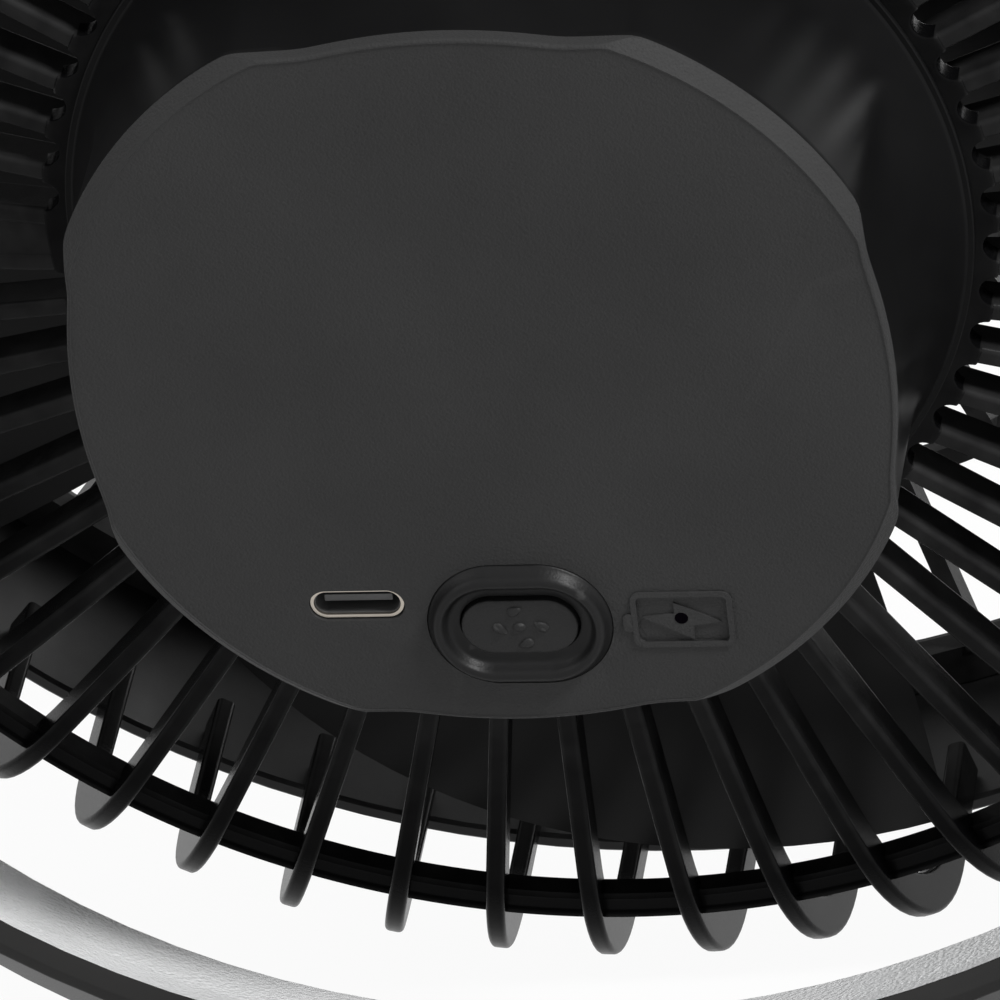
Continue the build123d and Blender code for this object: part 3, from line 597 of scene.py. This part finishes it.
@dataclass(frozen=True)
class ControlRow:
    """Line on the cover that carries the socket, the button and the charge mark.

    Attributes:
        z: height of the row's middle above the fan's axis.
        shift: how far that middle lies to the right, seen from behind.
        turn: tilt of the row, in degrees.
        pitch: distance from the button to the socket and to the mark.
        port_rise: how far the socket sits above the row.
        button_rise: the same for the button.
    """

    z: float = -26.75
    shift: float = 0.3
    turn: float = -1.4
    pitch: float = 15.6
    port_rise: float = 2.1
    button_rise: float = -0.4

    def point(self, x: float, z: float, y: float) -> Vector:
        """Head position of a point given along and above the row.

        Args:
            x: distance along the row, to the right seen from behind.
            z: distance above the row.
            y: station on the fan's axis.

        Returns:
            The point in head millimetres.
        """
        turn = math.radians(self.turn)
        across = x * math.cos(turn) - z * math.sin(turn)
        up = x * math.sin(turn) + z * math.cos(turn)
        return Vector((-across - self.shift, y, up + self.z))


ROW = ControlRow()


@dataclass
class Stadium(Ring):
    """Round-ended slot in the control row, seen from behind."""

    length: float
    height: float
    y: float
    along: float = 0.0
    rise: float = ROW.button_rise

    def __call__(self, angle: float) -> Vector:
        """Point of the slot's outline in one direction."""
        reach = self.height / 2
        x = reach * math.cos(angle) + math.copysign((self.length - self.height) / 2, math.cos(angle))
        return ROW.point(x + self.along, reach * math.sin(angle) + self.rise, self.y)


# ------------------------------------------------------------------ rear hub
@dataclass
class RearHub:
    """Soft-touch cover, gloss drum, charging port, button and its seal.

    Attributes:
        form: the cover's outline.
        face: station of the cover's crest.
        root: station of the drum's foot on the grille.
        drum_top: station at which the drum meets the cover.
        wall: thickness of the drum.
        gap: how far the drum lies inside the cover's outline.
        drop: how far the cover's flat face lies under its crest.
        mark: middle of the charge mark, from its place in the row.
        mark_inside: half length and half height inside the mark's rim.
        mark_outside: the same outside the rim.
        segments: points round the drum and the cover.
    """

    form: Cushion = field(default_factory=Cushion)
    face: float = 87.0
    root: float = 58.0
    drum_top: float = 85.2
    wall: float = 1.2
    gap: float = 0.3
    drop: float = 0.1
    mark: tuple[float, float] = (0.13, -0.05)
    mark_inside: tuple[float, float] = (4.35, 2.6)
    mark_outside: tuple[float, float] = (4.9, 3.15)
    segments: int = 320

    def build(self, stance: Stance) -> None:
        """Make every piece of the hub and set it on the head."""
        self.drum().place(stance.head(), "gloss_black", "head", ("hub_shell",), 40.0)
        self.cover().place(stance.head(), "soft_touch", "head", ("rear_cover",), 24.0)
        self.seal().place(stance.head(), "seal_rubber", "head", ("button_seal",), 60.0)
        self.button().place(stance.head(), "button_black", "button", ("power_button",), 40.0)
        # The socket's dark sleeve is painted shade in its recess.
        self.port_shade_sleeve().place(stance.head(), "tongue_black", "head", (), 40.0)

    def port_shade_sleeve(self) -> Work:
        """Dark sleeve inside the socket's shell: painted shade that darkens the recess, where the real shell
        is bare metal inside.
        """
        work = Work("port_shade_sleeve")
        section = [(8.42, 2.58, -8.3), (8.42, 2.58, -0.72), (8.2, 2.36, -0.72), (8.2, 2.36, -8.3)]
        work.loops([Stadium(length, height, self.face + rise, -ROW.pitch, ROW.port_rise)
                    for length, height, rise in section], 72, close=True)
        return work

    def drum(self) -> Work:
        """Drum that leaves the cover's outline for a round, flanged foot."""
        work = Work("gloss_drum")
        top, foot = self.drum_top, self.root + 0.7
        rings: list[Ring] = [Round(44.05, self.root), Round(44.2, self.root + 0.12), Round(44.2, foot - 0.14),
                             Round(44.08, foot), Round(43.62, foot), Round(43.46, foot + 0.16)]
        neck, narrowing, power, steps = 43.4, 7.2, 0.9, 30
        for index in range(steps + 1):
            y = foot + 0.4 + (top - 0.35 - foot - 0.4) * index / steps
            share = (y - foot) / (top - foot)
            rings.append(Outline(self.form, y, self.gap, cone=neck - narrowing * share ** power))
        rings += [Outline(self.form, top, 0.55), Outline(self.form, top, self.gap + self.wall),
                  Outline(self.form, self.root, self.gap + self.wall)]
        work.loops(rings, self.segments, close=True)
        return work

    def cover(self) -> Work:
        """Cover plate with bevelled corners, its openings and the charge mark."""
        work = Work("soft_cover")
        low, face = self.drum_top, self.face
        rings: list[Ring] = [Outline(self.form, low, 0.08), Outline(self.form, low + 0.08)]
        for share in (0.0, 0.06, 0.14, 0.24, 0.36, 0.5, 0.64, 0.763, 0.8, 0.86, 1.0):
            rings.append(Brow(self.form, low, share, drop=self.drop))
        rings.append(Outline(self.form, face - self.drop, 6.0))
        work.loops(rings, self.segments)
        tools = [self.slot(18.0, 13.8, face - 0.9, face + 2), self.slot(11.7, 6.5, low - 2, face + 2),
                 self.slot(9.3, 3.46, low - 2, face + 2, -ROW.pitch, ROW.port_rise - 0.09),
                 self.slot(1.3, 1.299, low - 2, face + 2, ROW.pitch, 0.0)]
        work.carve(tools)
        work.carve([self.mark_field()])
        work.add(self.mark_frame())
        work.soften(0.1, 2, 50.0)
        return work

    def slot(self, length: float, height: float, low: float, high: float, along: float = 0.0,
             rise: float = ROW.button_rise) -> Work:
        """Round-ended bar across the cover, used as a cutter."""
        bar = Work("slot")
        bar.loops([Stadium(length, height, low, along, rise), Stadium(length, height, high, along, rise)], 72)
        return bar

    def outline_bar(self, places: list[tuple[float, float]], low: float, high: float,
                    radius: float = 0.0, segments: int = 6) -> Work:
        """Make a prism on an outline given round the charge mark's place.

        Args:
            places: corners of the outline.
            low: station of its one end.
            high: station of its other end.
            radius: rounding of its upright edges, or 0 for none.
            segments: faces across that rounding.

        Returns:
            The prism.
        """
        bar = Work("bar")
        verts = [bar.bm.verts.new(ROW.point(x + ROW.pitch, z, low)) for x, z in places]
        bar.push([bar.bm.faces.new(verts)], (0, high - low, 0))
        bar.tidy()
        if radius:
            uprights = [e for e in bar.bm.edges if abs(e.verts[0].co.y - e.verts[1].co.y) > 0.2]
            bmesh.ops.bevel(bar.bm, geom=uprights, offset=radius, offset_type="OFFSET", segments=segments,
                            profile=0.5, affect="EDGES", material=-1)
        return bar

    def mark_box(self, half: tuple[float, float]) -> list[tuple[float, float]]:
        """Corners of a box round the middle of the charge mark."""
        (x, z), (w, h) = self.mark, half
        return [(x - w, z - h), (x + w, z - h), (x + w, z + h), (x - w, z + h)]

    def mark_field(self) -> Work:
        """Sunk field of the charge mark, with its bolt left standing."""
        bar = self.outline_bar(self.mark_box(self.mark_inside), self.face - 0.34, self.face + 1.0, 0.5, 5)
        bolt = self.outline_bar([(-3.78, 0.16), (-0.67, 0.52), (-0.63, 1.78), (3.79, -0.49), (1.16, -0.87),
                                 (1.05, -2.45)], self.face - 1.0, self.face + 2.0)
        bar.carve([bolt])
        return bar

    def mark_frame(self) -> Work:
        """Raised rim of the charge mark, with its nub."""
        x, z = self.mark
        low, high = self.face - 0.3, self.face + 0.12
        rim = self.outline_bar(self.mark_box(self.mark_outside), low, high, 0.95)
        rim.carve([self.outline_bar(self.mark_box(self.mark_inside), low - 1, high + 1, 0.5)])
        rim.add(self.outline_bar([(x - 5.75, z - 1.2), (x - 4.8, z - 1.35), (x - 4.8, z + 0.75),
                                  (x - 5.75, z + 0.6)], low, high, 0.35, 4))
        return rim

    def seal(self) -> Work:
        """Raised soft ring with a dished inside."""
        work = Work("soft_seal")
        section = [(17.8, 13.6, -0.88), (17.8, 13.6, -0.1), (17.6, 13.35, 0.02), (17.15, 12.7, 0.3),
                   (16.75, 12.2, 0.78), (16.4, 11.7, 1.12), (16.0, 11.2, 1.27), (15.6, 10.7, 1.3),
                   (15.2, 10.2, 1.25), (14.85, 9.8, 1.08), (14.5, 9.4, 0.74), (14.15, 9.0, 0.34),
                   (13.7, 8.5, 0.06), (13.0, 7.8, -0.08), (12.2, 7.0, -0.1), (11.7, 6.5, -0.2),
                   (11.7, 6.5, -0.88)]
        work.loops([Stadium(length, height, self.face + rise) for length, height, rise in section],
                   120, close=True)
        return work

    def button(self) -> Work:
        """Flat button with a centre dot and four petals."""
        work = Work("flat_button")
        section = [(13.4, 8.2, -5.2), (13.4, 8.2, -4.35), (11.3, 6.1, -4.3), (11.3, 6.1, 0.2),
                   (11.22, 6.02, 0.33), (11.05, 5.85, 0.4), (10.6, 5.4, 0.42)]
        work.loops([Stadium(length, height, self.face + rise) for length, height, rise in section], 120)
        for x, z, turn, long, taper in ((0, 0, 0, 0.68, 0.0), (-0.33, 1.86, 202, 0.78, 0.4),
                                        (0.45, -1.92, 20, 0.8, 0.45), (2.1, 0.1, -38, 0.82, 0.4),
                                        (-1.92, -0.17, 142, 0.82, 0.4)):
            work.add(self.petal(x, z, turn, long, taper))
        return work

    def petal(self, x: float, z: float, turn: float, long: float, taper: float) -> Work:
        """Low drop-shaped bump on the button."""
        drop = Work("petal")
        bmesh.ops.create_uvsphere(drop.bm, u_segments=20, v_segments=10, radius=1.0)
        way = math.radians(turn)
        for vert in drop.bm.verts:
            u = vert.co.x * long
            w = vert.co.y * 0.52 * (1.0 + taper * vert.co.x)
            along = x + u * math.cos(way) - w * math.sin(way)
            above = z + u * math.sin(way) + w * math.cos(way) + ROW.button_rise
            vert.co = ROW.point(along, above, self.face + 0.4 + vert.co.z * 0.34)
        drop.tidy()
        return drop


@dataclass
class Brow(Ring):
    """Ring of the cover's upper edge: a bevel on the corner arcs, a small rounding on the sides.

    Attributes:
        form: the cover's outline.
        low: station of the cover's underside.
        share: 0 on the outline, 1 where the flat face begins.
        height: thickness of the cover.
        foot: height at which the bevel starts on the arcs.
        bevel: reach and top of the bevel.
        face: reach of the shallow step from the bevel to the face.
        rounding: radius of the rounding on the sides.
        run: how far in the sides reach their flat face.
        drop: how far the face lies under the crest of the edge.
        fall: share at which the crest ends, and over which the drop is made.
    """

    form: Cushion
    low: float
    share: float
    height: float = 1.8
    foot: float = 0.12
    bevel: tuple[float, float] = (1.45, 1.8)
    face: float = 1.9
    rounding: float = 0.4
    run: float = 0.5
    drop: float = 0.1
    fall: tuple[float, float] = (0.8, 0.06)

    def __call__(self, angle: float) -> Vector:
        """Point of the edge in one direction."""
        outline = self.form.reach(angle)
        radius = min(outline - self.run * self.share, self.form.arc - self.face * self.share)
        depth = self.form.arc - radius
        reach, top = self.bevel
        if depth < reach:
            cone = self.foot + (top - self.foot) * depth / reach
        else:
            cone = top + (self.height - top) * min(1.0, (depth - reach) / (self.face - reach))
        inside = max(0.0, self.rounding - (outline - radius))
        edge = self.height - self.rounding + math.sqrt(max(0.0, self.rounding ** 2 - inside ** 2))
        crest, over = self.fall
        sunk = self.drop * min(1.0, max(0.0, (self.share - crest) / over))
        rise = min(cone, edge) - sunk
        return about_axis(radius, self.low + min(rise, self.height - sunk), angle)


# ------------------------------------------------------------------ rear grille
@dataclass
class RearGrille:
    """Slotted floor, rounded ribs, tying hoop and the wide spoke.

    Attributes:
        count: rib positions round the axis.
        width: thickness of a rib.
        depth: height of a rib's section.
        slope: lean of the rib backs, in degrees.
        corner: radius of the shoulder.
        outer: radius at which the ribs run forward.
        root: station of the floor's back.
        start: radius at which the ribs leave the floor.
        slot_root: radius at which the slots begin.
        floor: thickness of the floor.
        end: station at which the ribs end.
        edge: rounding of a rib's edges.
        hoop: inner and outer radius of the tying hoop.
    """

    count: int = 56
    width: float = 2.0
    depth: float = 4.5
    slope: float = 10.0
    corner: float = 26.0
    outer: float = 106.4
    root: float = 58.0
    start: float = 45.1
    slot_root: float = 45.0
    floor: float = 2.6
    end: float = 9.4
    edge: float = 0.55
    hoop: tuple[float, float] = (88.8, 92.2)

    def build(self, stance: Stance) -> None:
        """Make the grille as one piece on the head."""
        work = Work("rear_cage")
        rib = self.rib()
        for index in range(self.count):
            work.add(rib, Matrix.Rotation(2 * math.pi * (index + 0.5) / self.count, 4, "Y"))
        work.add(self.plate())
        work.add(self.tie())
        work.add(self.spoke())
        work.place(stance.head(), "cage_black", "head", ("rear_grille",), 38.0)

    def back(self, x: float) -> float:
        """Station of the rib backs at a distance from the axis."""
        return self.root - (x - self.slot_root) * math.tan(math.radians(self.slope))

    def rib(self) -> Work:
        """One rib: a rounded bar run out along the slope, round the shoulder and forward."""
        work = Work("rib")
        bm = work.bm
        lean = math.radians(self.slope)
        across = Vector((math.sin(lean), math.cos(lean), 0.0))
        top = Vector((self.start, self.back(self.start), 0.0))
        corners = []
        for depth, side in ((0.0, -1), (0.0, 1), (self.depth, 1), (self.depth, -1)):
            corners.append(bm.verts.new(top - across * depth + Vector((0, 0, side * self.width / 2))))
        face = bm.faces.new(corners)
        bmesh.ops.bevel(bm, geom=list(face.verts), offset=self.edge, offset_type="OFFSET", segments=4,
                        profile=0.5, affect="VERTICES", material=-1)
        profile = list(bm.faces)
        shoulder = self.outer - self.corner
        crown = math.pi / 2 - lean
        middle_y = self.back(shoulder + self.corner * math.cos(crown)) - self.corner * math.sin(crown)
        centre = Vector((shoulder, middle_y, 0.0))
        run = centre + Vector((math.cos(crown), math.sin(crown), 0.0)) * self.corner - top
        head = work.push(profile, run)
        bmesh.ops.delete(bm, geom=profile, context="FACES_ONLY")
        turned = bmesh.ops.spin(bm, geom=head, cent=centre, axis=(0, 0, 1), dvec=(0, 0, 0), angle=-crown,
                                steps=16, use_merge=False, use_duplicate=False)["geom_last"]
        bmesh.ops.delete(bm, geom=[f for f in head if f.is_valid], context="FACES_ONLY")
        last = [g for g in turned if isinstance(g, bmesh.types.BMFace)]
        work.push(last, (0, self.end - middle_y, 0))
        bmesh.ops.delete(bm, geom=[f for f in last if f.is_valid], context="FACES_ONLY")
        bmesh.ops.holes_fill(bm, edges=[e for e in bm.edges if e.is_boundary], sides=0)
        work.tidy()
        return work

    def plate(self) -> Work:
        """Slotted floor: a disc with a round bite for every slot."""
        radius = (2 * math.pi * (self.slot_root + 1.5) / self.count - self.width) / 2
        rim = self.slot_root + radius
        work = Work("floor")
        work.loops([Round(rim, self.root - self.floor), Round(rim, self.root)], self.count * 8)
        bites = Work("bites")
        for index in range(1, self.count):
            bite = Work("bite")
            bmesh.ops.create_cone(bite.bm, cap_ends=True, segments=28, radius1=radius, radius2=radius,
                                  depth=8.0, matrix=Matrix.Rotation(math.pi / 2, 4, "X"))
            bmesh.ops.translate(bite.bm, verts=bite.bm.verts, vec=(rim, self.root - 1.3, 0))
            bites.add(bite, Matrix.Rotation(2 * math.pi * index / self.count, 4, "Y"))
        work.carve([bites])
        work.soften(0.28, 2, 60.0)
        return work

    def tie(self) -> Work:
        """Hoop under the ribs with a fine ridge near its outer edge."""
        inner, outer = self.hoop
        back = self.back(outer) - 2.6
        work = Work("tie")
        work.lathe([(inner, back - 2.6), (outer, back - 3.0), (outer, back - 0.7),
                    (outer - 0.35, back - 0.12), (outer - 0.8, back), (outer - 1.05, back - 0.02),
                    (outer - 1.25, back - 0.16), (inner + 0.5, back + 0.24), (inner, back - 0.1)], 336)
        return work

    def spoke(self) -> Work:
        """Wide solid spoke that closes one slot."""
        work = Work("spoke")
        half = math.pi * (self.slot_root + 6) / self.count + 0.6
        near, far = self.slot_root - 1, self.hoop[0] + 1
        verts = [work.bm.verts.new((x, self.back(x) - drop, -half))
                 for x, drop in ((near, 0.3), (far, 0.3), (far, 2.3), (near, 2.3))]
        work.push([work.bm.faces.new(verts)], (0, 0, 2 * half))
        work.tidy()
        work.soften(0.2, 2, 40.0)
        return work


# ------------------------------------------------------------------ rounded copies of plain nodes
@dataclass
class Rounded:
    """A frame node shown with its moulded edges rounded.

    Attributes:
        node: the frame node.
        slot: its material slot.
        body: the body it rides on.
        width: how far the rounding reaches, in millimetres.
    """

    node: str
    slot: str
    body: str
    width: float

    def build(self, stance: Stance) -> None:
        """Copy, merge and round the node, then show the copy for it."""
        work = Work("round_" + self.node)
        work.copy_of(self.node, stance.head())
        work.soften(self.width, 2, 34.0)
        work.place(stance.head(), self.slot, self.body, (self.node,), 34.0)


ROUNDED: tuple[Rounded, ...] = (
    Rounded("front_band", "band_grey", "head", 0.3),
    Rounded("ring_hoop", "hoop_black", "ring_stand", 0.35),
    Rounded("front_grille", "cage_black", "head", 0.25),
    Rounded("front_cap", "soft_touch", "head", 0.2),
    Rounded("left_pivot_cap", "hoop_black", "ring_stand", 0.25),
    Rounded("right_pivot_cap", "hoop_black", "ring_stand", 0.25),
    Rounded("ring_feet", "foot_rubber", "ring_stand", 0.5),
)


# ------------------------------------------------------------------ light, floor and camera
@dataclass
class Lamp:
    """A soft rectangular light aimed at the middle of the fan."""

    name: str
    at: Triple
    size: tuple[float, float]
    watts: float

    def make(self, target: Vector) -> None:
        """Hang the lamp and aim it."""
        data = bpy.data.lights.new(self.name, "AREA")
        data.shape = "RECTANGLE"
        data.size, data.size_y = self.size
        data.energy = self.watts
        lamp = bpy.data.objects.new(self.name, data)
        bpy.context.scene.collection.objects.link(lamp)
        lamp.location = Vector(self.at)
        lamp.rotation_euler = (target - lamp.location).to_track_quat("-Z", "Y").to_euler()


def ray_mask(tree: bpy.types.NodeTree, *rays: str) -> bpy.types.NodeSocket:
    """Make a mask that is 1 for some kinds of ray and 0 for all others.

    Args:
        tree: the nodes of the material or of the world.
        rays: the kinds, as the light path's outputs name them.

    Returns:
        The socket that gives the mask.
    """
    path = tree.nodes.new("ShaderNodeLightPath")
    mask = path.outputs[rays[0]]
    for ray in rays[1:]:
        either = tree.nodes.new("ShaderNodeMath")
        either.operation = "MAXIMUM"
        tree.links.new(mask, either.inputs[0])
        tree.links.new(path.outputs[ray], either.inputs[1])
        mask = either.outputs[0]
    return mask


@dataclass
class Studio:
    """Pale floor, white surroundings, soft lamps and the camera.

    Attributes:
        lens: focal length, in millimetres.
        eye: place of the camera, in head millimetres.
        turn: its turn about the head's X, Y and Z, in degrees.
        ambient: level of the light from all round.
        glow: share of plain white in the floor as it is seen; the rest keeps the shadow.
        lamps: the lamps.
    """

    lens: float = 335.08
    eye: Triple = (-155.49, 807.82, 470.72)
    turn: Triple = (56.43, 7.4408, -172.7571)
    ambient: float = 0.22
    glow: float = 0.95
    lamps: tuple[Lamp, ...] = (
        Lamp("key", (-0.8, 0.7, 1.0), (0.3, 0.25), 20.0),
        Lamp("fill", (0.8, 0.5, 0.7), (0.5, 0.5), 1.5),
        Lamp("low", (-0.4, -0.7, 0.25), (0.8, 0.3), 3.0),
    )

    def build(self, stance: Stance) -> None:
        """Set up everything round the fan."""
        self.surroundings()
        self.floor()
        for lamp in self.lamps:
            lamp.make(Vector((0.0, 0.0, 0.11)))
        self.camera(stance)

    def surroundings(self) -> None:
        """White to the camera and in reflections, a plain level of light otherwise."""
        world = bpy.data.worlds.new("studio")
        bpy.context.scene.world = world
        world.use_nodes = True
        nodes, links = world.node_tree.nodes, world.node_tree.links
        plain = nodes["Background"]
        plain.inputs["Color"].default_value = (1.0, 1.0, 1.0, 1.0)
        plain.inputs["Strength"].default_value = self.ambient
        shown = nodes.new("ShaderNodeBackground")
        shown.inputs["Color"].default_value = (1.0, 1.0, 1.0, 1.0)
        shown.inputs["Strength"].default_value = 1.0
        mix = nodes.new("ShaderNodeMixShader")
        seen = ray_mask(world.node_tree, "Is Camera Ray", "Is Glossy Ray", "Is Transmission Ray")
        links.new(seen, mix.inputs["Fac"])
        links.new(plain.outputs[0], mix.inputs[1])
        links.new(shown.outputs[0], mix.inputs[2])
        links.new(mix.outputs[0], nodes["World Output"].inputs["Surface"])

    def floor(self) -> None:
        """Pale floor that shows white and keeps the fan's shadow."""
        bm = bmesh.new()
        bmesh.ops.create_grid(bm, x_segments=1, y_segments=1, size=3.0)
        data = bpy.data.meshes.new("studio_floor")
        bm.to_mesh(data)
        bm.free()
        ground = bpy.data.objects.new("studio_floor", data)
        bpy.context.scene.collection.objects.link(ground)
        paper = bpy.data.materials.new("studio_paper")
        paper.use_nodes = True
        nodes, links = paper.node_tree.nodes, paper.node_tree.links
        shader = nodes["Principled BSDF"]
        shader.inputs["Base Color"].default_value = (0.86, 0.86, 0.86, 1.0)
        shader.inputs["Roughness"].default_value = 0.9
        glow = nodes.new("ShaderNodeEmission")
        glow.inputs["Strength"].default_value = 1.0
        share = nodes.new("ShaderNodeMath")
        share.operation = "MULTIPLY"
        share.inputs[1].default_value = self.glow
        mix = nodes.new("ShaderNodeMixShader")
        links.new(ray_mask(paper.node_tree, "Is Camera Ray", "Is Glossy Ray"), share.inputs[0])
        links.new(share.outputs[0], mix.inputs["Fac"])
        links.new(shader.outputs[0], mix.inputs[1])
        links.new(glow.outputs[0], mix.inputs[2])
        links.new(mix.outputs[0], nodes["Material Output"].inputs["Surface"])
        data.materials.append(paper)
        ground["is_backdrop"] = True

    def camera(self, stance: Stance) -> None:
        """Long lens, close behind and above the rear cover."""
        data = bpy.data.cameras.new("view")
        data.lens = self.lens
        data.sensor_width = 36.0
        data.clip_start = 0.05
        data.clip_end = 20.0
        eye = bpy.data.objects.new("view", data)
        bpy.context.scene.collection.objects.link(eye)
        head = stance.head()
        spin = Matrix.Rotation(math.radians(self.turn[2]), 4, "Z") @ Matrix.Rotation(
            math.radians(self.turn[1]), 4, "Y") @ Matrix.Rotation(math.radians(self.turn[0]), 4, "X")
        turned = head.to_3x3().normalized().to_4x4() @ spin
        eye.matrix_world = Matrix.Translation(head @ Vector(self.eye)) @ turned
        bpy.context.scene.camera = eye


# ------------------------------------------------------------------ dressing
def dress_nodes() -> None:
    """Give every node of the frame the finish of its slot."""
    for entry in frame["record"]["subparts"]:
        node = frame["nodes"][entry["node"]]
        skin = FINISHES[entry["material_slot"]].material()
        if not node.data.materials:
            node.data.materials.append(skin)
        for index in range(len(node.data.materials)):
            node.data.materials[index] = skin
        log.info("finish %s on %s", entry["material_slot"], entry["node"])


def corners() -> list[list[float]]:
    """Lowest and highest corner of what shows, as plain lists."""
    low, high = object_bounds()
    return [list(low), list(high)]


def main() -> None:
    """Build the finished fan in order."""
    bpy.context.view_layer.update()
    bpy.context.scene.view_settings.view_transform = "Standard"
    grain_group()
    scuff_and_highlight_group()
    mottle_group()
    stance = Stance()
    Studio().build(stance)
    dress_nodes()
    RearHub().build(stance)
    RearGrille().build(stance)
    for copy in ROUNDED:
        copy.build(stance)


if __name__ == "__main__":
    main()
